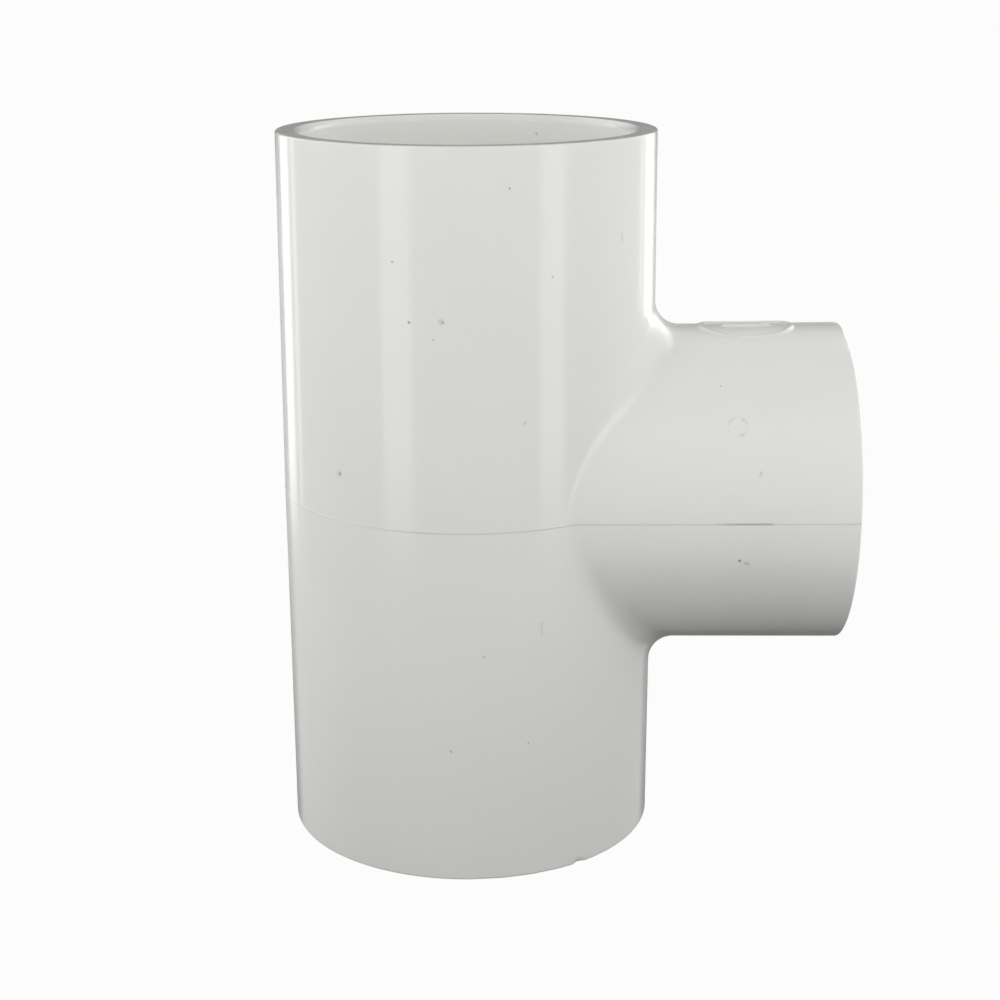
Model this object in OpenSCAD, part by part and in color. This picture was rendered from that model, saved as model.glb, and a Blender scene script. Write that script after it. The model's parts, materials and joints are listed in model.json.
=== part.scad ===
// Reducing tee for solvent-welded pipe: a straight run with a socket at each end,
// and a smaller branch socket at right angles to it. One injection-moulded piece.
// Millimetres. The origin is the centre of the lower run socket's mouth, the run
// stands along +Z, and the branch points along +X.

/* [Run] */
// Outer diameter of the run at the parting line
run_od = 102.4; // [101:0.1:106]
// Length of the run from mouth to mouth
run_len = 194.6; // [190:0.1:220]
// How much smaller the run's outer radius is at a mouth than at the parting line
run_draft = 0.4; // [0.1:0.05:0.8]

/* [Run sockets] */
// Inner diameter of a run socket
run_socket_d = 89.3; // [87:0.1:90.5]
// Depth of a run socket, down to its pipe stop
run_socket_depth = 48; // [40:0.5:50]
// Diameter of the waterway between the two run sockets
run_bore_d = 82; // [78:0.5:84]

/* [Branch] */
// Outer diameter of the branch at its mouth
branch_od = 87.7; // [86:0.1:92]
// Reach of the branch, from the run's axis to the branch's mouth
branch_reach = 102; // [98:0.5:115]
// How much smaller the branch's outer radius would be at the run's axis than at its mouth
branch_flare = 0.6; // [0:0.05:0.8]

/* [Branch socket] */
// Inner diameter of the branch socket
branch_socket_d = 73.4; // [71:0.1:75]
// Depth of the branch socket, down to its pipe stop
branch_socket_depth = 44.5; // [38:0.5:46]
// Diameter of the waterway from the branch socket to the run
branch_bore_d = 67; // [62:0.5:69]

/* [Edges] */
// Radius of the outside blend where the branch leaves the run
blend_r = 8; // [5:0.5:10]
// Lead-in chamfer at each socket's mouth
lead_in = 0.6; // [0.2:0.1:0.7]
// Rounding of each mouth's outer edge
rim_r = 0.5; // [0.2:0.1:0.8]
// Height of the bead of plastic left along the parting line
parting_h = 0.1; // [0.05:0.05:0.3]
// Width of that bead
parting_w = 0.6; // [0.3:0.1:1]

/* [Moulded marks] */
// Length along the branch of the plain raised outline on top of it
mark_len = 26; // [25:0.5:30]
// Width across the branch of the raised outline
mark_w = 22; // [16:0.5:24]
// Width of the outline's own line
mark_line = 1.4; // [0.8:0.1:2]
// Height that the outline stands above the branch
mark_h = 0.5; // [0.2:0.1:0.8]
// Distance from the run's axis to the middle of the raised outline
mark_reach = 76; // [74:0.5:84]

/* [Hidden] */
$fn = 128;

// Height of the parting plane, which holds the branch's axis
parting_z = run_len / 2;
// How far cutting shapes run past the faces they cut
past = 1;
// Depth that joined shapes reach into each other
sink = 2;
// Height that the blend's edges stand off the run and the branch, to cover its flats
blend_lift = 0.03;
// Steps around the blend, and across it
blend_turns = 120;
blend_steps = 8;
// Steps in a rounded rim
rim_steps = 6;

// Radius of the run's outside at height z above or below the parting plane
function run_r(z) = run_od / 2 - run_draft * abs(z) / parting_z;

// Radius of the branch's outside at distance x from the run's axis
function branch_r(x) = branch_od / 2 - branch_flare * (1 - x / branch_reach);

// Distance from the run's axis of a ball of radius blend_r that touches the run's outside,
// when the ball lies at angle a around the branch's axis and at radius r from it
function ball_x(a, r) = sqrt(pow(run_r(r * sin(a)) + blend_r, 2) - pow(r * cos(a), 2));

// Radius from the branch's axis of the ball that touches the branch's outside too
function ball_reach(a) =
    let (near = ball_x(a, branch_od / 2 + blend_r))
    branch_r(near) + blend_r;

// Centre of the ball that rolls in the corner between the run and the branch
function ball(a) =
    let (r = ball_reach(a))
    [ball_x(a, r), r * cos(a), r * sin(a)];

// Directions from the ball's centre to where it touches the run, and the branch
function to_run(b) = [-b.x, -b.y, 0] / norm([b.x, b.y]);
function to_branch(b) = [0, -b.y, -b.z] / norm([b.y, b.z]);

// A direction part of the way from u to v, both of length 1
function turned(u, v, t) =
    let (whole = acos(u * v))
    (u * sin(whole * (1 - t)) + v * sin(whole * t)) / sin(whole);

// One section across the blend: the visible arc, and three points buried in the walls
function blend_section(a) =
    let (b = ball(a), u = to_run(b), v = to_branch(b), reach = blend_r - blend_lift)
    concat(
        [b + u * (blend_r + sink)],
        [for (i = [0 : blend_steps]) b + turned(u, v, i / blend_steps) * reach],
        [b + v * (blend_r + sink)],
        [b + (u + v) * (blend_r + sink)]
    );

// A profile's points along a quarter circle about c, from angle a0 to a0 + 90
function quarter(c, r, a0) =
    [for (i = [0 : rim_steps]) c + r * [cos(a0 + 90 * i / rim_steps), sin(a0 + 90 * i / rim_steps)]];

// Outside of the run: two slightly tapered halves with the parting bead between them
module run_outside() {
    mouth_r = run_r(parting_z);
    rotate_extrude()
        polygon(concat(
            [[0, 0]],
            quarter([mouth_r - rim_r, rim_r], rim_r, -90),
            [[run_r(parting_w / 2), parting_z - parting_w / 2]],
            [[run_r(0) + parting_h, parting_z]],
            [[run_r(parting_w / 2), parting_z + parting_w / 2]],
            quarter([mouth_r - rim_r, run_len - rim_r], rim_r, 0),
            [[0, run_len]]
        ));
}

// Outside of the branch, along +X from the run's axis
module branch_outside() {
    translate([0, 0, parting_z])
        rotate([0, 90, 0])
            rotate_extrude()
                polygon(concat(
                    [[0, 0], [branch_r(0), 0]],
                    quarter([branch_od / 2 - rim_r, branch_reach - rim_r], rim_r, 0),
                    [[0, branch_reach]]
                ));
}

// Parting bead along both sides of the branch, tilted to follow the branch's flare
module branch_bead() {
    start = ball(0).x;
    stretch = branch_reach - rim_r - start;
    for (side = [-1, 1])
        translate([start, side * branch_r(start), parting_z])
            rotate([0, 0, side * atan(branch_flare / branch_reach)])
                rotate([90, 0, 90])
                    linear_extrude(stretch)
                        polygon([
                            [-side * sink, -parting_w / 2],
                            [0, -parting_w / 2],
                            [side * parting_h, 0],
                            [0, parting_w / 2],
                            [-side * sink, parting_w / 2]
                        ]);
}

// Ring of plastic that rounds the corner between the run and the branch
module blend() {
    rings = [for (k = [0 : blend_turns - 1]) blend_section(360 * k / blend_turns)];
    across = len(rings[0]);
    faces = [
        for (k = [0 : blend_turns - 1], i = [0 : across - 1])
            let (
                k2 = (k + 1) % blend_turns,
                i2 = (i + 1) % across,
                p = k * across + i,
                q = k * across + i2,
                r = k2 * across + i2,
                s = k2 * across + i
            )
            each [[p, q, r], [p, r, s]]
    ];
    translate([0, 0, parting_z])
        polyhedron(points = [for (ring = rings) each ring], faces = faces);
}

// Outline with round ends, len_x by len_y
module stadium(len_x, len_y) {
    half_flat = (len_x - len_y) / 2;
    square([2 * half_flat, len_y], center = true);
    for (side = [-1, 1])
        translate([side * half_flat, 0]) circle(d = len_y);
}

// Plain raised outline on top of the branch, with a plain bar in the middle
module raised_mark() {
    top_r = branch_r(mark_reach) + mark_h;
    bar_len = mark_len / 2;
    intersection() {
        translate([mark_reach, 0, parting_z + branch_r(mark_reach) - sink - mark_h])
            linear_extrude(2 * sink + 2 * mark_h) {
                difference() {
                    stadium(mark_len, mark_w);
                    stadium(mark_len - 2 * mark_line, mark_w - 2 * mark_line);
                }
                stadium(bar_len, mark_line);
            }
        translate([0, 0, parting_z])
            rotate([0, 90, 0])
                cylinder(r = top_r, h = branch_reach);
    }
}

// Socket cut downwards into a mouth at z = 0, with its lead-in
module socket_cut(d, depth) {
    translate([0, 0, -depth])
        cylinder(d = d, h = depth + past);
    translate([0, 0, -lead_in])
        cylinder(d1 = d, d2 = d + 2 * (lead_in + past), h = lead_in + past);
}

// Everything that pipe and water run through
module waterways() {
    translate([0, 0, run_socket_depth - past])
        cylinder(d = run_bore_d, h = run_len - 2 * run_socket_depth + 2 * past);
    translate([0, 0, run_len])
        socket_cut(run_socket_d, run_socket_depth);
    mirror([0, 0, 1])
        socket_cut(run_socket_d, run_socket_depth);
    translate([0, 0, parting_z])
        rotate([0, 90, 0]) {
            cylinder(d = branch_bore_d, h = branch_reach);
            translate([0, 0, branch_reach])
                socket_cut(branch_socket_d, branch_socket_depth);
        }
}

module tee_body() {
    color("whitesmoke")
        difference() {
            union() {
                run_outside();
                branch_outside();
                branch_bead();
                blend();
                raised_mark();
            }
            waterways();
        }
}

tee_body();
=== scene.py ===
"""Looks of a white PVC reducing tee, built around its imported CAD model.

The visible tee is one closed mesh of quads that stands for the CAD node: the same
run, branch, blend, sockets, pipe stops and waterways, with the parting bead, the moulded
marks and the rounded edges that the CAD solid leaves plain.
Metres throughout. The run stands along +Z and the branch points along +X.
"""

import json
import math

import bmesh
import bpy
import numpy as np
from mathutils import Matrix, Vector


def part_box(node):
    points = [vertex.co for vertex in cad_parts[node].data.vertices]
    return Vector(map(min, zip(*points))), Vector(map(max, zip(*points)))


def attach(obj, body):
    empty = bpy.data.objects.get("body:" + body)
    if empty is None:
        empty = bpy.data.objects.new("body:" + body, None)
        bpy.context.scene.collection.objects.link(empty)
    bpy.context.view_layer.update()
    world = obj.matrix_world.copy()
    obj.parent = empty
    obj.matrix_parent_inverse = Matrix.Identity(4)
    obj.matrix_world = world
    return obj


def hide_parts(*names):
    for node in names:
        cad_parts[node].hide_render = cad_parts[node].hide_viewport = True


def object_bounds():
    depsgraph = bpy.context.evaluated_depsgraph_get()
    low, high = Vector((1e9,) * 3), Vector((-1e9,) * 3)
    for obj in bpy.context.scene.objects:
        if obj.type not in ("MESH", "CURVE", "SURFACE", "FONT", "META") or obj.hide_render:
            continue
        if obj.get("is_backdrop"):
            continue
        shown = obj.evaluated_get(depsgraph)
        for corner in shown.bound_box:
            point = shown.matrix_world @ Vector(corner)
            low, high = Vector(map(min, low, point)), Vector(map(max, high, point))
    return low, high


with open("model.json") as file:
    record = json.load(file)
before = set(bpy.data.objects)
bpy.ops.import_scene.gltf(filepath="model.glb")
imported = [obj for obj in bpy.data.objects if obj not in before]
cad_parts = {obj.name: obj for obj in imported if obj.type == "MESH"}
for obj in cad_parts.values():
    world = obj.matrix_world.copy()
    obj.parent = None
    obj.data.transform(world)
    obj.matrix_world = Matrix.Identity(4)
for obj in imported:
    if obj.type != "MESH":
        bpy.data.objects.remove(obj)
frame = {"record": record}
cad_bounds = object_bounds()

MM = 0.001
NODE = "tee_body"

# ---------------------------------------------------------------------------
# Sizes and settings, the first of them taken from the frame
# ---------------------------------------------------------------------------

mounts = {m["name"]: m for m in frame["record"]["mounts"]}
low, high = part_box(NODE)
RUN_LENGTH = high.z
REACH = high.x
PARTING_Z = mounts["branch_socket"]["pos_m"][2]
SOCKET_R = mounts["top_socket"]["dims"]["r_mm"] * MM
BRANCH_SOCKET_R = mounts["branch_socket"]["dims"]["r_mm"] * MM

# Sizes that repeat the CAD source's
BEAD_HEIGHT = 0.1 * MM
BEAD_HALF_WIDTH = 0.3 * MM
RUN_R = high.y - BEAD_HEIGHT
RUN_DRAFT = 0.4 * MM
BRANCH_R = 43.85 * MM
BRANCH_FLARE = 0.6 * MM
BLEND_R = 8 * MM
RIM_R = 0.5 * MM
SOCKET_DEPTH = 48 * MM
BRANCH_SOCKET_DEPTH = 44.5 * MM
BORE_R = 41 * MM
BRANCH_BORE_R = 33.5 * MM
MARK_REACH = 76 * MM
MARK_LENGTH = 26 * MM
MARK_WIDTH = 22 * MM
MARK_LINE = 1.4 * MM
MARK_HEIGHT = 0.5 * MM

# Sizes of what only the visible mesh has
# A socket's mouth, from the flat rim down to the wall, where the CAD solid has a small chamfer: length
# of each piece in mm, how far it faces up at its start and end in degrees, and its rows
MOUTH_PIECES = [(0.45, 90, 50, 3), (0.9, 50, 46, 2), (0.25, 46, 21, 2), (0.7, 21, 18, 2), (0.25, 18, 0, 2)]
CROSSING_R = 1.2 * MM        # rounding of the edge where the two waterways meet
STOP_EDGE_R = 0.6 * MM       # rounding of a pipe stop's inner edge
CORNER_R = 0.4 * MM          # fillet at the foot of a socket's wall
MARK_EDGE = 0.45 * MM        # width of the soft flank of a raised line
RING_REACH = 70.1 * MM       # ejector witness ring on the side of the branch
RING_ANGLE = 146.6
RING_R = 2.5 * MM
RING_LINE = 0.35 * MM
RING_HEIGHT = 0.16 * MM
CHIP_AZIMUTH = 35.3          # chip in the lower rim's outer edge, from -Y towards +X
CHIP_DEPTH = 0.5 * MM
CHIP_REACH = 2.0 * MM        # how far from the edge, in the run's wall and end face, the chip reaches
CHIP_STEEP = 1.6 * MM        # length of its steep flank, on the azimuth's lower side
CHIP_GENTLE = 3.6 * MM       # and of its gentle one

# Layout of the mesh, in metres and degrees
WINDOW_ANGLE = 90.0          # half width, round the run, of the patch that the branch stands in
WINDOW_HALF = 75 * MM        # half height of that patch
SIDE = 45.0                  # a side of the patch faces this much either way round the branch
BASE_STEPS = 36              # columns on a side, before those that relief needs
FINE_STEP = 0.45             # degrees between columns where there is relief
FINE_ROW = 0.45 * MM         # distance between rows there
CHIP_COLUMNS = np.linspace(-35.8, -33.6, 16)  # on the branch's underside, under which the chip is
CHIP_ROWS = np.array([0.5, 0.8, 1.2, 1.7, 2.3]) * MM
FINE_MARGIN = 1.2 * MM       # how far the fine rows run past the raised mark
COARSE_ROWS = 10
WINDOW_STEPS = 20
CORNER_STEPS = 10
WALL_STEPS = 14
FLAT_MARGIN = 0.15 * MM      # how far a flat ring's outer rows keep from the roundings beside it
FLAT_MARGINS = np.array([0.15, 0.5, 0.9, 1.5, 2.2]) * MM
WELD = 0.002 * MM
BACK = np.linspace(WINDOW_ANGLE, 360 - WINDOW_ANGLE, 105)
SIDES = {"right": (0, 1), "top": (90, -1), "left": (180, -1), "bottom": (270, 1)}

# Parting bead
BEAD_SEED = 5
BEAD_WAVES = (31.0, 17.0, 9.0, 4.3, 2.1)  # wavelengths, in mm, of the bead's uneven height
BEAD_WAVE_SUM = 3.0          # the sum of the waves at which the bead is highest
BEAD_MIDDLE = 0.65           # share of its full height that the bead has on average
BEAD_SWING = 0.3             # and how much that goes up and down
BEAD_COLUMNS = np.array([0.06, 0.12, 0.18, 0.24, 0.3, 0.36, 0.6, 1.0, 1.6]) * MM

# Camera: distances are in radii of the run
CAMERA_LENS = 69.11
CAMERA_DISTANCE = 10.536
CAMERA_AZIMUTH = -0.28
CAMERA_ELEVATION = 15.96
CAMERA_ROLL = -0.17
CAMERA_AIM_X = 0.1688
CAMERA_AIM_Z = -0.1118
SENSOR_WIDTH = 36

# Colours, linear
PVC_COLOUR = (0.888, 0.89, 0.869, 1)
PVC_SHADE = (0.872, 0.876, 0.848, 1)
SPECK_BROWN = (0.44, 0.42, 0.17, 1)
SPECK_GREY = (0.17, 0.16, 0.14, 1)
DIRT_AND_SHADE_COLOUR = (0.33, 0.30, 0.29, 1)
FLOOR_COLOUR = (0.975, 0.975, 0.975, 1)
SKY_COLOUR = (0.98, 0.98, 1.0, 1)
TENT_COLOUR = (1.0, 1.0, 0.99, 1)

# Painted shade under the parting bead, with dirt along it
LINE_HALF_WIDTH = 0.42 * MM
LINE_BELOW = 0.08 * MM       # how far the line's middle, painted shade of the bead and dirt, lies below the parting plane
LINE_GAP = -60.0             # azimuth, from -Y towards +X, where the line is left out
LINE_GAP_EDGE = (22.0, 42.0)  # degrees from there at which the line starts, and is full
# strength of the faint line: painted shade under the bead, with some dirt in it
BEAD_SHADE_AND_DIRT = 0.2
DIRT_DARK = 0.6
STROKE_RISE = (60 * MM, 71 * MM)    # from x to x, the dark stroke on the branch grows
STROKE_FALL = (78 * MM, 80.5 * MM)  # and fades

# Noise in the material: features to the metre, and the range of values that is used
PATCHY_SCALE = 90
PATCHY_RANGE = (0.3, 0.65)
PATCHY_LOW = 0.6
MOTTLE_SCALE = 22
MOTTLE_DETAIL = 3.0
MOTTLE_RANGE = (0.3, 0.7)
WEAR_SCALE = 160
WEAR_DETAIL = 4.0
WEAR_GRAIN = 0.6
WEAR_RANGE = (0.3, 0.75)
ROUGH_LOW = 0.11
ROUGH_HIGH = 0.17
PEEL_SCALE = 420
PEEL_DEPTH = 0.004 * MM
# how much darker the witness ring's line is, broken up by noise
RING_DARK = 0.2
RING_DARK_SCALE = 500
RING_DARK_RANGE = (0.42, 0.6)
RING_GRAIN = 6.0             # how much rougher than the orange peel the ring's inside is
RING_GRAIN_SCALE = 1300
FLECK_SCALE = 95.0
FLECK_SIZE = (0.015, 0.035)  # inner and outer radius, as shares of a cell
FLECK_STRENGTH = 0.35
FLECK_CHANCE = 0.955         # share of the cells that have none
SPECK_CORE = 0.4             # share of a speck's radius that has its full strength

# Plastic
IOR = 1.53
SUBSURFACE = 0.08
SUBSURFACE_RADIUS = (1.0, 0.9, 0.75)
SUBSURFACE_SCALE = 2 * MM

# Floor: it curves up into a wall far away
SWEEP_R = 6.0
SWEEP_TOP = 8.0
SWEEP_TURNS = 96
COVE_R = 2.0
COVE_STEPS = 12
FLOOR_SHADE = 0.45           # brightness where the tee covers all the sky
FLOOR_SHADE_REACH = 0.15
FLOOR_SHADE_SAMPLES = 12

# Light from overhead, by the height of its direction
SKY_TOP = 0.28
SKY_EDGE_LOW = 0.68
SKY_EDGE_HIGH = 0.8

# Light tent: heights in metres, azimuths in degrees from -Y towards +X. A pair is where something
# starts and where it is complete.
TENT_R = 0.32
TENT_TOP = 0.55
TENT_BELOW = 0.2
TENT_TURNS = 96
SIDE_AZIMUTH = (45, 95)
BACK_AZIMUTH = (138, 140)
BACK_HIGH_HEIGHT = (0.27, 0.33)
BACK_TURN = (-0.02, 0.06)    # from x to x, the upper back goes from its left to its right brightness
BACK_FOOT = 0.2
BACK_FOOT_HEIGHT = (-0.2, 0.05)
BAND_HEIGHT = (-0.03, 0.06)

# Brightness low down and high up of the front, and of what the sides have more; of the foot as a share
# of the wall; of the upper back at the left and right; of the lower back. A band is its azimuth, half
# width, softness and strength, and fade is the share of it that is left high up.
SOFT_TENT = {                # the soft light
    "wall_height": (0.20, 0.42),
    "front": (0.57, 1.18),
    "side": (0.14, 0.28),
    "foot_height": (-0.2, 0.0),
    "foot": 0.3,
    "back_high": (1.5, 1.5),
    "back_low": 0.42,
    "back_low_height": (0.12, 0.19),
    "fade_height": (0.22, 0.38),
    "fade": 0.4,
    "bands": [
        (-39.0, 8.7, 1.5, 1.3),
        (48.2, 7.5, 1.5, 1.3),
        (-131.5, 7.0, 0.7, 1.6),
        (133.5, 7.3, 0.7, 1.6),
        (-117.5, 1.8, 0.7, 1.4),
        (121.0, 1.5, 0.7, 1.4),
    ],
}
GLOSS_TENT = {               # what the gloss reflects
    "wall_height": (0.10, 0.24),
    "front": (0.52, 0.36),
    "side": (0.14, 0.08),
    "foot_height": (-0.2, -0.08),
    "foot": 0.7,
    "back_high": (0.8, 0.2),
    "back_low": 0.45,
    "back_low_height": (0.12, 0.21),
    "fade_height": (0.28, 0.42),
    "fade": 0.5,
    "bands": [
        (-39.0, 8.7, 1.5, 1.4),
        (48.2, 7.5, 1.5, 1.45),
        (-131.5, 7.0, 0.7, 1.75),
        (133.5, 7.3, 0.7, 1.75),
        (-117.5, 1.8, 0.7, 1.45),
        (121.0, 1.5, 0.7, 1.45),
        (141.0, 4.0, 4.0, 0.9),
    ],
}


# ---------------------------------------------------------------------------
# Relief on the outside: parting bead, raised mark, witness ring
# ---------------------------------------------------------------------------

def smooth(x):
    """0 below 0, 1 above 1, and a soft step between."""
    x = np.clip(x, 0.0, 1.0)
    return x * x * (3.0 - 2.0 * x)


def wander(points, seed):
    """A smooth uneven value of about -1 to 1 that changes with place in the parting plane."""
    rng = np.random.default_rng(seed)
    total = 0
    for wavelength in BEAD_WAVES:
        turn, phase = rng.uniform(0, 2 * math.pi, 2)
        along = points[..., 0] * math.cos(turn) + points[..., 1] * math.sin(turn)
        total = total + np.sin(along / (wavelength * MM) * 2 * math.pi + phase)
    return np.clip(total / BEAD_WAVE_SUM, -1, 1)


def bead(points):
    """Height of the parting bead at points on the plain surface."""
    across = np.abs(points[..., 2] - PARTING_Z) / BEAD_HALF_WIDTH
    height = BEAD_HEIGHT * (BEAD_MIDDLE + BEAD_SWING * wander(points, BEAD_SEED))
    to_mouth = (REACH - RIM_R - points[..., 0]) / RIM_R
    return height * smooth(1.0 - across) * smooth(to_mouth)


def stadium(x, y, length, width):
    """Distance from the edge of an outline with round ends, negative inside."""
    flat = (length - width) / 2
    beyond = np.maximum(np.abs(x) - flat, 0.0)
    return np.hypot(beyond, y) - width / 2


def line_height(distance, line, height, edge):
    """Height of a raised line, line wide, at a distance from its middle."""
    return height * smooth((line / 2 + edge - distance) / edge)


def branch_relief(x, angle):
    """Raised mark and witness ring on the branch, at x and at an angle round it."""
    along = x - MARK_REACH
    across = np.radians(angle - 90.0) * BRANCH_R
    outline = np.abs(stadium(along, across, MARK_LENGTH - MARK_LINE, MARK_WIDTH - MARK_LINE))
    bar = np.maximum(stadium(along, across, MARK_LENGTH / 2, MARK_LINE), -MARK_LINE / 2)
    mark = np.maximum(
        line_height(outline, MARK_LINE - MARK_EDGE, MARK_HEIGHT, MARK_EDGE),
        line_height(bar + MARK_LINE / 2, MARK_LINE - MARK_EDGE, MARK_HEIGHT, MARK_EDGE),
    )
    ring_across = np.radians(angle - RING_ANGLE) * BRANCH_R
    ring_distance = np.abs(np.hypot(x - RING_REACH, ring_across) - RING_R)
    return mark + line_height(ring_distance, RING_LINE / 2, RING_HEIGHT, RING_LINE)


# ---------------------------------------------------------------------------
# Surfaces
# ---------------------------------------------------------------------------

def run_r(z):
    """Radius of the run's outside, without the bead."""
    return RUN_R - RUN_DRAFT * np.abs(z - PARTING_Z) / PARTING_Z


def branch_r(x):
    """Radius of the branch's outside, without its relief."""
    return BRANCH_R - BRANCH_FLARE * (1 - x / REACH)


def round_z(radius, theta, z):
    """Points at a radius round the run's axis."""
    t = np.radians(theta)
    return np.stack([radius * np.cos(t), radius * np.sin(t), z + 0 * t], axis=-1)


def round_x(radius, angle, x):
    """Points at a radius round the branch's axis; angle 0 is +Y and 90 is up."""
    a = np.radians(angle)
    return np.stack([x + 0 * a, radius * np.cos(a), PARTING_Z + radius * np.sin(a)], axis=-1)


def outer_run(theta, z):
    """Points on the outside of the run."""
    return chipped(round_z(run_r(z) + bead(round_z(run_r(z), theta, z)), theta, z))


def outer_branch(angle, x):
    """Points on the outside of the branch."""
    height = bead(round_x(branch_r(x), angle, x)) + branch_relief(x, angle)
    return round_x(branch_r(x) + height, angle, x)


def chipped(points):
    """Points near the lower rim's outer edge, pushed up and in where a chip has come off."""
    radius = np.hypot(points[..., 0], points[..., 1])
    azimuth = np.arctan2(points[..., 0], -points[..., 1])
    across = (azimuth - math.radians(CHIP_AZIMUTH)) * RUN_R
    across = np.maximum(-across / CHIP_STEEP, across / CHIP_GENTLE)
    from_edge = np.hypot(run_r(0) - radius, points[..., 2]) / CHIP_REACH
    push = CHIP_DEPTH * smooth(1.0 - across) * smooth(1.0 - from_edge)
    inward = 1.0 - push * math.sqrt(0.5) / radius
    moved = points * np.stack([inward, inward, np.ones_like(inward)], axis=-1)
    moved[..., 2] += push * math.sqrt(0.5)
    return moved


class Corner:
    """The ball that rolls where two crossing tubes meet, and the round surface it leaves."""

    def __init__(self, angle, run_radius, branch_radius, ball_r):
        self.r = ball_r
        self.angle = angle
        a = np.radians(angle)
        out = branch_radius(0 * a) + ball_r
        for _ in range(3):
            along = run_radius(PARTING_Z + out * np.sin(a)) + ball_r
            x = np.sqrt(along ** 2 - (out * np.cos(a)) ** 2)
            out = branch_radius(x) + ball_r
        self.centre = np.stack([x, out * np.cos(a), PARTING_Z + out * np.sin(a)], axis=-1)
        flat = self.centre * [1, 1, 0]
        level = self.centre * [0, 1, 1] - [0, 0, PARTING_Z]
        self.to_run = -flat / np.linalg.norm(flat, axis=-1, keepdims=True)
        self.to_branch = -level / np.linalg.norm(level, axis=-1, keepdims=True)
        self.whole = np.arccos(np.sum(self.to_run * self.to_branch, axis=-1, keepdims=True))

    def row(self, t, height=None):
        """Points the share t of the way from the run to the branch, raised by height."""
        mix = self.to_run * np.sin(self.whole * (1 - t)) + self.to_branch * np.sin(self.whole * t)
        ray = mix / np.sin(self.whole)
        surface = self.centre + ray * self.r
        if height is None:
            return surface
        return surface - ray * height(surface)[:, None]


# ---------------------------------------------------------------------------
# Mesh
# ---------------------------------------------------------------------------

class Shell:
    """Grids of quads whose edges coincide, gathered into one closed mesh."""

    def __init__(self):
        self.points = []
        self.quads = []
        self.count = 0

    def grid(self, rows, closed=False):
        """Adds rows of points, each row the same length; closed joins a row's ends."""
        rows = np.asarray(rows)
        index = self.count + np.arange(rows.shape[0] * rows.shape[1]).reshape(rows.shape[:2])
        after = np.roll(index, -1, axis=1)
        if not closed:
            index, after = index[:, :-1], after[:, :-1]
        quads = np.stack([index[:-1], after[:-1], after[1:], index[1:]], axis=-1)
        self.points.append(rows.reshape(-1, 3))
        self.quads.append(quads.reshape(-1, 4))
        self.count += rows.shape[0] * rows.shape[1]

    def build(self, name):
        """Welds the grids' shared edges and returns the object."""
        mesh = bpy.data.meshes.new(name)
        mesh.from_pydata(np.vstack(self.points), [], np.vstack(self.quads))
        bm = bmesh.new()
        bm.from_mesh(mesh)
        bmesh.ops.remove_doubles(bm, verts=bm.verts, dist=WELD)
        bmesh.ops.recalc_face_normals(bm, faces=bm.faces)
        loose = [e for e in bm.edges if not e.is_manifold]
        if loose:
            where = [tuple(round(c / MM, 2) for c in e.verts[0].co) for e in loose[:5]]
            raise RuntimeError(f"{len(loose)} open edges in {name}, such as at {where} mm")
        bm.to_mesh(mesh)
        bm.free()
        mesh.shade_smooth()
        piece = bpy.data.objects.new(name, mesh)
        bpy.context.scene.collection.objects.link(piece)
        return piece


def merged(*lists):
    """All the values of the lists, in order, without repeats."""
    return np.unique(np.round(np.concatenate(lists), 6))


def side_angles():
    """Angles round the branch, for each side of a window, fine where there is relief."""
    base = np.linspace(-SIDE, SIDE, BASE_STEPS + 1)
    near = np.degrees(np.concatenate([-BEAD_COLUMNS, BEAD_COLUMNS]) / BRANCH_R)
    ring_half = np.degrees((RING_R + 2 * RING_LINE) / BRANCH_R)
    ring = 180 - RING_ANGLE + np.arange(-ring_half, ring_half, FINE_STEP)
    mark_half = np.degrees((MARK_WIDTH / 2 + MARK_EDGE) / BRANCH_R)
    mark = np.arange(-mark_half, mark_half, FINE_STEP)
    right = merged(base, near, ring)
    return {
        "right": right,
        "top": 90 + merged(base, mark),
        "left": 180 - right[::-1],
        "bottom": 270 + merged(base, CHIP_COLUMNS),
    }


ANGLES = side_angles()
ALL_ANGLES = np.concatenate([
    ANGLES["right"], ANGLES["top"][1:], ANGLES["left"][1:], ANGLES["bottom"][1:-1]
])


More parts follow.
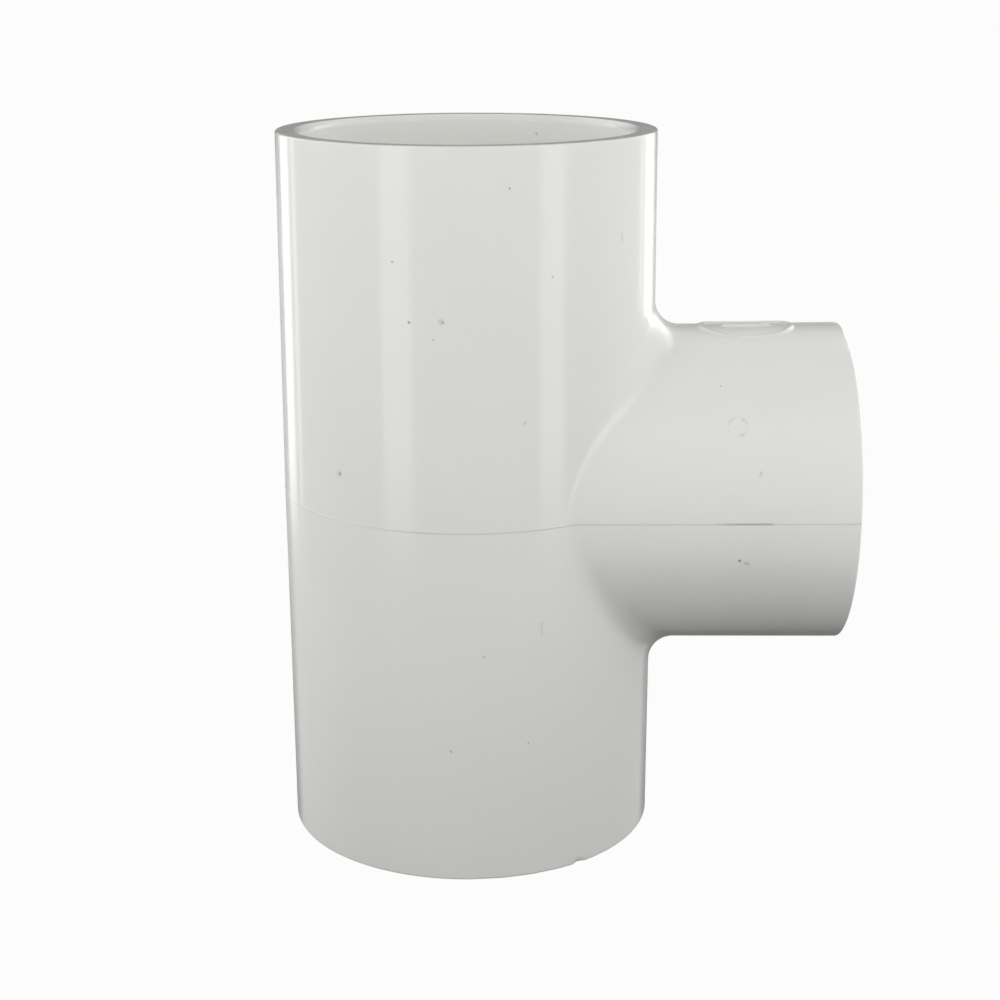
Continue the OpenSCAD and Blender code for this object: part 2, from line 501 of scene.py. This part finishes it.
class Window:
    """A patch of the run's wall, four-sided, with a rounded hole where the branch joins it."""

    def __init__(self, run_radius, branch_radius, ball_r, half_height):
        self.half_height = half_height
        self.corners = {}
        self.hole = {}
        self.edge = {}
        for side, (middle, sign) in SIDES.items():
            angle = ANGLES[side]
            corner = Corner(angle, run_radius, branch_radius, ball_r)
            touch = corner.row(0)
            theta = np.degrees(np.arctan2(touch[:, 1], touch[:, 0]))
            z = touch[:, 2] - PARTING_Z
            push = sign * ((angle - middle) / SIDE) ** 3
            if side in ("right", "left"):
                edge_theta = np.full_like(theta, sign * WINDOW_ANGLE)
                edge_z = z + (half_height - np.abs(z).max()) * push
            else:
                edge_theta = theta + (WINDOW_ANGLE - np.abs(theta).max()) * push
                edge_z = np.full_like(z, (1 if side == "top" else -1) * half_height)
            self.corners[side] = corner
            self.hole[side] = (theta, z)
            self.edge[side] = (edge_theta, edge_z)

    def add(self, shell, surface, steps):
        """Adds the wall between the hole and the window's edge; surface gives its points."""
        for side in SIDES:
            (theta, z), (edge_theta, edge_z) = self.hole[side], self.edge[side]
            shell.grid([
                surface(theta + (edge_theta - theta) * t, PARTING_Z + z + (edge_z - z) * t)
                for t in np.linspace(0, 1, steps + 1)
            ])

    def add_corner(self, shell, steps, height=None):
        """Adds the rounded corner between the run and the branch."""
        for corner in self.corners.values():
            shell.grid([corner.row(t, height) for t in np.linspace(0, 1, steps + 1)])

    def add_branch(self, shell, surface, end, steps):
        """Adds the branch's wall from the rounded corner to x = end; surface gives its points."""
        for corner in self.corners.values():
            start = corner.row(1)[:, 0]
            shell.grid([
                surface(corner.angle, start + (end - start) * t) for t in np.linspace(0, 1, steps + 1)
            ])

    def columns(self, side):
        """Angles round the run at the window's top or bottom edge, and on round the back."""
        front = np.sort(self.edge[side][0])
        return np.concatenate([front, BACK[1:-1]])


def arc(centre, radius, start, steps=6):
    """Points (radius, depth) on a quarter circle, from the angle start to start + 90."""
    turn = np.radians(start + np.linspace(0, 90, steps + 1))
    return [(centre[0] + radius * math.cos(t), centre[1] + radius * math.sin(t)) for t in turn]


def mouth_curve(socket_r):
    """Points (radius, depth) of a socket's mouth, from the flat rim down to the socket's wall."""
    points = [(0.0, 0.0)]
    for length, start, end, steps in MOUTH_PIECES:
        for k in range(steps):
            tilt = math.radians(start + (end - start) * (k + 0.5) / steps)
            step = length * MM / steps
            points.append((points[-1][0] - step * math.sin(tilt), points[-1][1] + step * math.cos(tilt)))
    return [(socket_r + r - points[-1][0], d) for r, d in points]


def mouth_profile(outer_r, socket_r, depth, bore_r):
    """Points (radius, depth below the mouth) from the outside, over the rim, down to the bore."""
    rim = arc((outer_r - RIM_R, RIM_R), RIM_R, -90)[::-1]
    edge = mouth_curve(socket_r)
    foot = arc((socket_r - CORNER_R, depth - CORNER_R), CORNER_R, 0)
    stop = arc((bore_r + STOP_EDGE_R, depth + STOP_EDGE_R), STOP_EDGE_R, 180)[::-1]
    wall = [(socket_r, d) for d in np.linspace(edge[-1][1], depth - CORNER_R, WALL_STEPS)[1:-1]]
    return rim, edge, wall, foot, stop


def add_mouth(shell, place, outer_columns, inner_columns, outer_r, socket_r, depth, bore_r):
    """Adds a rim, its socket and its pipe stop; place gives points from radius, column and depth."""
    rim, edge, wall, foot, stop = mouth_profile(outer_r, socket_r, depth, bore_r)
    flat = [(rim[-1][0] - m, 0) for m in FLAT_MARGINS] + [(edge[0][0] + FLAT_MARGIN, 0)]
    rows = [place(r, outer_columns, d) for r, d in rim + flat + edge]
    shift = inner_columns - outer_columns
    for k, (r, d) in enumerate(wall):
        rows.append(place(r, outer_columns + shift * (k + 1) / len(wall), d))
    step = [(foot[-1][0] - FLAT_MARGIN, depth), (stop[0][0] + FLAT_MARGIN, depth)]
    rows += [place(r, inner_columns, d) for r, d in foot + step + stop]
    shell.grid(rows, closed=True)


def build_tee():
    """The whole tee as one closed mesh."""
    shell = Shell()
    outer = Window(run_r, branch_r, BLEND_R, WINDOW_HALF)
    inner_half = PARTING_Z - SOCKET_DEPTH - STOP_EDGE_R
    inner = Window(
        lambda z: BORE_R + 0 * z, lambda x: BRANCH_BORE_R + 0 * x, CROSSING_R, inner_half
    )

    # Outside of the run
    below = np.linspace(CHIP_ROWS[-1], PARTING_Z - WINDOW_HALF, COARSE_ROWS)
    below = np.concatenate([CHIP_ROWS[:-1], below])
    above = np.linspace(PARTING_Z + WINDOW_HALF, RUN_LENGTH - RIM_R, COARSE_ROWS)
    middle = PARTING_Z + outer.edge["right"][1]
    shell.grid([outer_run(BACK, z) for z in np.concatenate([below[:-1], middle, above[1:]])])
    shell.grid([outer_run(outer.edge["bottom"][0], z) for z in below])
    shell.grid([outer_run(outer.edge["top"][0], z) for z in above])
    outer.add(shell, outer_run, WINDOW_STEPS)
    outer.add_corner(shell, CORNER_STEPS, bead)

    # Outside of the branch
    fine_from = MARK_REACH - MARK_LENGTH / 2 - FINE_MARGIN
    fine_to = MARK_REACH + MARK_LENGTH / 2 + FINE_MARGIN
    outer.add_branch(shell, outer_branch, fine_from, COARSE_ROWS)
    fine = np.arange(fine_from, fine_to, FINE_ROW)
    rest = np.linspace(fine[-1], REACH - RIM_R, COARSE_ROWS)[1:]
    shell.grid([outer_branch(ALL_ANGLES, x) for x in np.concatenate([fine, rest])], closed=True)

    # Inside of the run and the branch
    shell.grid([round_z(BORE_R, BACK, PARTING_Z + z) for z in inner.edge["right"][1]])
    inner.add(shell, lambda theta, z: round_z(BORE_R, theta, z), WINDOW_STEPS)
    inner.add_corner(shell, CORNER_STEPS)
    inner.add_branch(
        shell,
        lambda angle, x: round_x(BRANCH_BORE_R, angle, x),
        REACH - BRANCH_SOCKET_DEPTH - STOP_EDGE_R,
        COARSE_ROWS,
    )

    # Mouths, with their sockets and pipe stops
    mouth_r = run_r(RIM_R)
    ends = {
        "top": lambda r, theta, d: round_z(r, theta, RUN_LENGTH - d),
        "bottom": lambda r, theta, d: chipped(round_z(r, theta, d)),
    }
    for side, place in ends.items():
        add_mouth(
            shell, place, outer.columns(side), inner.columns(side),
            mouth_r, SOCKET_R, SOCKET_DEPTH, BORE_R,
        )
    add_mouth(
        shell, lambda r, angle, d: round_x(r, angle, REACH - d), ALL_ANGLES, ALL_ANGLES,
        branch_r(REACH - RIM_R), BRANCH_SOCKET_R, BRANCH_SOCKET_DEPTH, BRANCH_BORE_R,
    )
    return shell.build("tee")


# ---------------------------------------------------------------------------
# Materials
# ---------------------------------------------------------------------------

class Nodes:
    """Short way to make and join the nodes of a material or the world."""

    def __init__(self, owner):
        self.owner = owner
        owner.use_nodes = True
        self.tree = owner.node_tree
        self.tree.nodes.clear()

    def add(self, kind, **settings):
        """A node; settings name its properties, or its inputs with _ for a space."""
        node = self.tree.nodes.new(kind)
        for name, value in settings.items():
            if hasattr(node, name):
                setattr(node, name, value)
            else:
                self.set(node, name.replace("_", " "), value)
        return node

    def set(self, node, socket, value):
        """Sets a socket to a number or colour, or joins it to another node's output."""
        target = node.inputs[socket]
        if isinstance(value, bpy.types.NodeSocket):
            self.tree.links.new(value, target)
        else:
            target.default_value = value

    def math(self, operation, a, b=0.0, clamp=False):
        """The output of a maths node."""
        node = self.add("ShaderNodeMath", operation=operation, use_clamp=clamp)
        self.set(node, 0, a)
        self.set(node, 1, b)
        return node.outputs[0]

    def ramp(self, value, low, high, to_low=0.0, to_high=1.0):
        """value mapped smoothly from low..high to to_low..to_high."""
        node = self.add("ShaderNodeMapRange", interpolation_type="SMOOTHSTEP")
        self.set(node, 0, value)
        for socket, number in ((1, low), (2, high), (3, to_low), (4, to_high)):
            self.set(node, socket, number)
        return node.outputs[0]

    def azimuth(self, x, y):
        """Degrees round the run's axis, from -Y towards +X."""
        return self.math("DEGREES", self.math("ARCTAN2", x, self.math("MULTIPLY", y, -1.0)))

    def mix(self, factor, a, b):
        """Colour a shaded towards colour b by factor."""
        node = self.add("ShaderNodeMix", data_type="RGBA")
        self.set(node, 0, factor)
        self.set(node, 6, a)
        self.set(node, 7, b)
        return node.outputs[2]

    def vector(self, operation, a, b=(0, 0, 0)):
        """A vector maths node."""
        node = self.add("ShaderNodeVectorMath", operation=operation)
        self.set(node, 0, a)
        self.set(node, 1, b)
        return node

    def to_stroke(self, where, start, end):
        """Distance of where from the straight stroke between two points."""
        line = Vector(end) - Vector(start)
        offset = self.vector("SUBTRACT", where, tuple(start)).outputs[0]
        if line.length == 0:
            return self.vector("LENGTH", offset).outputs["Value"]
        along = self.vector("DOT_PRODUCT", offset, tuple(line / line.length_squared)).outputs["Value"]
        nearest = self.vector("SCALE", tuple(line))
        self.set(nearest, "Scale", self.math("MULTIPLY", along, 1.0, clamp=True))
        return self.vector("DISTANCE", offset, nearest.outputs[0]).outputs["Value"]

    def noise(self, where, scale, detail=2.0, roughness=0.5):
        """A noise value at where, with scale features to the metre."""
        node = self.add("ShaderNodeTexNoise")
        self.set(node, "Vector", where)
        self.set(node, "Scale", scale)
        self.set(node, "Detail", detail)
        self.set(node, "Roughness", roughness)
        return node.outputs[0]


def on_run(azimuth, height_mm, radius=None):
    """A point on the run, at radius or on its outside; azimuth 0 is -Y and turns towards +X."""
    height = height_mm * MM
    return round_z(run_r(height) if radius is None else radius, azimuth - 90.0, height)


def on_branch(angle, reach_mm):
    """A point on the outside of the branch."""
    return round_x(branch_r(reach_mm * MM), angle, reach_mm * MM)


def marks():
    """Specks and short strokes of dirt: start, end, half width, strength and colour of each.

    A speck is listed by its azimuth and height on the run, or its angle and reach on the branch, and
    then its radius. Degrees and millimetres.
    """
    run_specks = [
        (-6.8, 151.8, 1.1, 0.3, SPECK_BROWN),
        (-6.3, 151.7, 0.5, 0.35, SPECK_GREY),
        (-40.4, 109.9, 1.2, 0.3, SPECK_BROWN),
        (-40.0, 110.0, 0.6, 0.45, SPECK_GREY),
        (-16.0, 151.4, 0.5, 0.7, SPECK_GREY),
        (12.5, 184.4, 0.4, 0.65, SPECK_GREY),
        (-20.7, 166.3, 0.4, 0.6, SPECK_GREY),
        (25.2, 162.2, 0.45, 0.4, SPECK_GREY),
        (48.7, 108.2, 0.4, 0.4, SPECK_GREY),
        (-5.3, 37.2, 0.45, 0.4, SPECK_GREY),
        (18.0, 38.6, 0.4, 0.35, SPECK_GREY),
        (16.8, 125.5, 0.55, 0.22, SPECK_GREY),
        (4.6, 63.8, 0.6, 0.22, SPECK_GREY),
        (-9.1, 147.3, 0.4, 0.3, SPECK_GREY),
        (146.0, 60.0, 0.5, 0.5, SPECK_BROWN),
        (-128.0, 141.0, 0.45, 0.5, SPECK_GREY),
        (-97.0, 33.0, 0.4, 0.4, SPECK_GREY),
        (170.0, 160.0, 0.4, 0.4, SPECK_GREY),
    ]
    branch_specks = [
        (193.7, 70.8, 0.5, 0.85, SPECK_GREY),
        (130.7, 66.3, 0.4, 0.35, SPECK_GREY),
        (101.0, 83.2, 0.45, 0.22, SPECK_GREY),
        (40.0, 80.0, 0.45, 0.4, SPECK_GREY),
        (-25.0, 68.0, 0.5, 0.4, SPECK_BROWN),
    ]
    found = [(on_run(a, z), on_run(a, z), r * MM, s, c) for a, z, r, s, c in run_specks]
    found += [(on_branch(a, x), on_branch(a, x), r * MM, s, c) for a, x, r, s, c in branch_specks]
    strokes = [
        (on_branch(194.6, 72.3), on_branch(195.0, 73.1), 0.6, 0.4, SPECK_BROWN),
        (on_branch(162.4, 75.8), on_branch(163.5, 75.5), 0.5, 0.2, SPECK_GREY),
        (on_run(22.1, 68.5), on_run(22.1, 71.8), 0.5, 0.12, SPECK_GREY),
        (on_run(51.4, 169.0), on_run(51.4, 170.6), 0.4, 0.2, SPECK_GREY),
        (on_run(153.7, 189.3, SOCKET_R), on_run(154.0, 189.6, SOCKET_R), 0.5, 0.3, SPECK_GREY),
    ]
    return found + [(start, end, r * MM, s, c) for start, end, r, s, c in strokes]


def sparse_flecks(n, place):
    """Strength of fine dark flecks, a few to the square decimetre."""
    speck = n.add("ShaderNodeTexVoronoi", feature="F1", Scale=FLECK_SCALE)
    n.set(speck, "Vector", place)
    split = n.add("ShaderNodeSeparateColor")
    n.set(split, 0, speck.outputs["Color"])
    small = n.ramp(speck.outputs["Distance"], *FLECK_SIZE, FLECK_STRENGTH, 0.0)
    chosen = n.math("GREATER_THAN", split.outputs[0], FLECK_CHANCE)
    return n.math("MULTIPLY", small, chosen)


def parting_dirt_and_shade(n, place):
    """Strength of the thin dark line under the parting bead, painted shade of the bead with some dirt,
    darkest along one stroke of dirt.
    """
    split = n.add("ShaderNodeSeparateXYZ")
    n.set(split, 0, place)
    x, y, z = split.outputs
    off = n.math("ABSOLUTE", n.math("SUBTRACT", z, PARTING_Z - LINE_BELOW))
    line = n.ramp(off, LINE_HALF_WIDTH / 3, LINE_HALF_WIDTH, 1.0, 0.0)

    behind = n.math("MINIMUM", x, 0.0)
    square = n.math("ADD", n.math("MULTIPLY", behind, behind), n.math("MULTIPLY", y, y))
    outside = n.math("GREATER_THAN", n.math("SQRT", square), BORE_R + MM)

    from_gap = n.math("ABSOLUTE", n.math("SUBTRACT", n.azimuth(x, y), LINE_GAP))
    patchy = n.ramp(n.noise(place, PATCHY_SCALE), *PATCHY_RANGE, PATCHY_LOW, 1.0)
    # the faint line: painted shade under the bead, partly dirt
    light = n.math("MULTIPLY", n.ramp(from_gap, *LINE_GAP_EDGE, 0.0, BEAD_SHADE_AND_DIRT), patchy)

    rise = n.ramp(x, *STROKE_RISE)
    fall = n.ramp(x, *STROKE_FALL, 1.0, 0.0)
    stroke = n.math("MULTIPLY", n.math("MULTIPLY", rise, fall), n.math("LESS_THAN", y, 0.0))
    dark = n.math("MULTIPLY", stroke, DIRT_DARK)
    strength = n.math("MAXIMUM", light, dark)
    return n.math("MULTIPLY", n.math("MULTIPLY", line, outside), strength)


def white_pvc():
    """Glossy moulded PVC: faint mottling, orange peel, fine scuffs, specks, dirt and painted shade under
    the bead.
    """
    n = Nodes(bpy.data.materials.new("white_pvc"))
    place = n.add("ShaderNodeTexCoord").outputs["Object"]

    shader = n.add("ShaderNodeBsdfPrincipled")
    shader.inputs["IOR"].default_value = IOR
    shader.inputs["Subsurface Weight"].default_value = SUBSURFACE
    shader.inputs["Subsurface Radius"].default_value = SUBSURFACE_RADIUS
    shader.inputs["Subsurface Scale"].default_value = SUBSURFACE_SCALE

    mottle = n.noise(place, MOTTLE_SCALE, MOTTLE_DETAIL)
    colour = n.mix(n.ramp(mottle, *MOTTLE_RANGE), PVC_COLOUR, PVC_SHADE)
    colour = n.mix(sparse_flecks(n, place), colour, SPECK_GREY)
    # painted shade under the parting bead, with dirt in it
    colour = n.mix(parting_dirt_and_shade(n, place), colour, DIRT_AND_SHADE_COLOUR)
    ring_centre = on_branch(RING_ANGLE, RING_REACH / MM)
    from_ring = n.to_stroke(place, ring_centre, ring_centre)
    off_ring = n.math("ABSOLUTE", n.math("SUBTRACT", from_ring, RING_R))
    # darker along the witness ring's line, broken up by noise
    broken = n.ramp(n.noise(place, RING_DARK_SCALE), *RING_DARK_RANGE)
    on_ring = n.ramp(off_ring, 0.5 * RING_LINE, 1.5 * RING_LINE, RING_DARK, 0.0)
    colour = n.mix(n.math("MULTIPLY", on_ring, broken), colour, SPECK_GREY)
    for start, end, half_width, strength, stain in marks():
        near = n.to_stroke(place, start, end)
        near = n.ramp(near, SPECK_CORE * half_width, half_width, strength, 0.0)
        colour = n.mix(near, colour, stain)
    n.set(shader, "Base Color", colour)

    wear = n.noise(place, WEAR_SCALE, WEAR_DETAIL, WEAR_GRAIN)
    n.set(shader, "Roughness", n.ramp(wear, *WEAR_RANGE, ROUGH_LOW, ROUGH_HIGH))

    peel = n.noise(place, PEEL_SCALE)
    in_ring = n.ramp(from_ring, 0.8 * RING_R, RING_R, RING_GRAIN, 0.0)
    peel = n.math("ADD", peel, n.math("MULTIPLY", n.noise(place, RING_GRAIN_SCALE), in_ring))
    bump = n.add("ShaderNodeBump")
    n.set(bump, "Strength", 1.0)
    n.set(bump, "Distance", PEEL_DEPTH)
    n.set(bump, "Height", peel)
    n.set(shader, "Normal", bump.outputs[0])

    out = n.add("ShaderNodeOutputMaterial")
    n.set(out, 0, shader.outputs[0])
    return n.owner


def floor_paper():
    """Plain pale paper with even light on it, softly shaded where the tee stands on it."""
    n = Nodes(bpy.data.materials.new("floor_paper"))
    open_sky = n.add("ShaderNodeAmbientOcclusion", samples=FLOOR_SHADE_SAMPLES)
    n.set(open_sky, "Distance", FLOOR_SHADE_REACH)
    glow = n.add("ShaderNodeEmission", Color=FLOOR_COLOUR)
    n.set(glow, "Strength", n.ramp(open_sky.outputs["AO"], 0.0, 1.0, FLOOR_SHADE, 1.0))
    n.set(n.add("ShaderNodeOutputMaterial"), 0, glow.outputs[0])
    return n.owner


# ---------------------------------------------------------------------------
# Stage, light and camera
# ---------------------------------------------------------------------------

def direction(azimuth, elevation):
    """A unit vector; azimuth 0 is -Y, where the camera is, and turns towards +X."""
    a, e = math.radians(azimuth), math.radians(elevation)
    return Vector((math.sin(a) * math.cos(e), -math.cos(a) * math.cos(e), math.sin(e)))


def tent_glow(name, look):
    """Light from the tent's wall, as bright as look says.

    In front and at the sides the wall is even, with upright bands. Behind the tee it has a part low
    down, fading into the dark, and another high up.
    """
    n = Nodes(bpy.data.materials.new(name))
    split = n.add("ShaderNodeSeparateXYZ")
    n.set(split, 0, n.add("ShaderNodeTexCoord").outputs["Object"])
    x, y, height = split.outputs
    azimuth = n.azimuth(x, y)

    def away(middle):
        return n.math("ABSOLUTE", n.math("SUBTRACT", azimuth, middle))

    front = n.ramp(height, *look["wall_height"], *look["front"])
    side = n.ramp(height, *look["wall_height"], *look["side"])
    side = n.math("MULTIPLY", side, n.ramp(away(0.0), *SIDE_AZIMUTH))
    wall = n.math("ADD", front, side)
    wall = n.math("MULTIPLY", wall, n.ramp(height, *look["foot_height"], look["foot"], 1.0))

    high_up = n.ramp(height, *BACK_HIGH_HEIGHT)
    high_up = n.math("MULTIPLY", high_up, n.ramp(x, *BACK_TURN, *look["back_high"]))
    low_down = n.ramp(height, *look["back_low_height"], look["back_low"], 0.0)
    low_down = n.math("MULTIPLY", low_down, n.ramp(height, *BACK_FOOT_HEIGHT, BACK_FOOT, 1.0))
    back = n.math("ADD", high_up, low_down)

    behind = n.ramp(away(0.0), *BACK_AZIMUTH)
    wall = n.math("MULTIPLY", wall, n.math("SUBTRACT", 1.0, behind))
    wall = n.math("ADD", wall, n.math("MULTIPLY", behind, back))
    bands = 0.0
    for middle, half, soft, glow in look["bands"]:
        bands = n.math("ADD", bands, n.ramp(away(middle), half - soft, half + soft, glow, 0.0))
    bands = n.math("MULTIPLY", bands, n.ramp(height, *BAND_HEIGHT))
    bands = n.math("MULTIPLY", bands, n.ramp(height, *look["fade_height"], 1.0, look["fade"]))
    emission = n.add("ShaderNodeEmission", Color=TENT_COLOUR)
    n.set(emission, "Strength", n.math("ADD", wall, bands))
    n.set(n.add("ShaderNodeOutputMaterial"), 0, emission.outputs[0])
    return n.owner


def build_tent(name, look, lit):
    """A round light tent of soft white cloth, out of the camera's sight, that lights only lit."""
    mesh = bpy.data.meshes.new(name)
    bm = bmesh.new()
    bmesh.ops.create_cone(
        bm, segments=TENT_TURNS, radius1=TENT_R, radius2=TENT_R, depth=TENT_TOP + TENT_BELOW,
        matrix=Matrix.Translation((0, 0, (TENT_TOP - TENT_BELOW) / 2)),
    )
    bm.to_mesh(mesh)
    bm.free()
    tent = bpy.data.objects.new(name, mesh)
    tent.data.materials.append(tent_glow(name, look))
    tent.visible_camera = False
    tent.visible_shadow = False
    receivers = bpy.data.collections.new("lit_by_" + name)
    receivers.objects.link(lit)
    tent.light_linking.receiver_collection = receivers
    bpy.context.scene.collection.objects.link(tent)
    tent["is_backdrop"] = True
    return tent


def build_sweep():
    """A wide pale floor that curves up into a wall all round, and throws no light back at the tee."""
    cove = arc((SWEEP_R - COVE_R, COVE_R), COVE_R, -90, COVE_STEPS)
    profile = [(SWEEP_R - COVE_R, 0)] + cove[1:] + [(SWEEP_R, SWEEP_TOP)]
    around = np.linspace(0, 360, SWEEP_TURNS, endpoint=False)
    shell = Shell()
    shell.grid([round_z(r, around, z) for r, z in profile], closed=True)
    mesh = bpy.data.meshes.new("sweep")
    corners = np.vstack(shell.points)
    faces = [list(quad) for quad in np.vstack(shell.quads)] + [list(range(SWEEP_TURNS))]
    mesh.from_pydata(corners, [], faces)
    mesh.shade_smooth()
    sweep = bpy.data.objects.new("sweep", mesh)
    sweep.data.materials.append(floor_paper())
    sweep.visible_diffuse = False
    sweep.visible_glossy = False
    sweep.visible_shadow = False
    bpy.context.scene.collection.objects.link(sweep)
    sweep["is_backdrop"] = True


def build_world():
    """Dim soft light from overhead, which the gloss doesn't reflect."""
    world = bpy.data.worlds.new("studio")
    bpy.context.scene.world = world
    world.cycles_visibility.glossy = False
    n = Nodes(world)
    split = n.add("ShaderNodeSeparateXYZ")
    n.set(split, 0, n.add("ShaderNodeTexCoord").outputs["Generated"])
    overhead = n.ramp(split.outputs["Z"], SKY_EDGE_LOW, SKY_EDGE_HIGH, 0.0, SKY_TOP)
    background = n.add("ShaderNodeBackground", Color=SKY_COLOUR)
    n.set(background, "Strength", overhead)
    n.set(n.add("ShaderNodeOutputWorld"), 0, background.outputs[0])


def build_camera():
    """The camera, at the reference view."""
    data = bpy.data.cameras.new("camera")
    data.sensor_width = SENSOR_WIDTH
    data.lens = CAMERA_LENS
    camera = bpy.data.objects.new("camera", data)
    target = Vector((CAMERA_AIM_X * RUN_R, 0, PARTING_Z + CAMERA_AIM_Z * RUN_R))
    back = direction(CAMERA_AZIMUTH, CAMERA_ELEVATION)
    turn = back.to_track_quat("Z", "Y").to_matrix() @ Matrix.Rotation(math.radians(CAMERA_ROLL), 3, "Z")
    camera.matrix_world = Matrix.Translation(target + back * CAMERA_DISTANCE * RUN_R) @ turn.to_4x4()
    bpy.context.scene.collection.objects.link(camera)
    bpy.context.scene.camera = camera


tee = build_tee()
tee.data.materials.append(white_pvc())
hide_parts(NODE)
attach(tee, "root")

build_sweep()
build_world()
build_tent("soft_tent", SOFT_TENT, tee).visible_glossy = False
build_tent("gloss_tent", GLOSS_TENT, tee).visible_diffuse = False
build_camera()
bpy.context.scene.view_settings.view_transform = "Standard"

boxes = {"cad": cad_bounds, "visual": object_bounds()}
{name: [list(map(float, corner)) for corner in box] for name, box in boxes.items()}
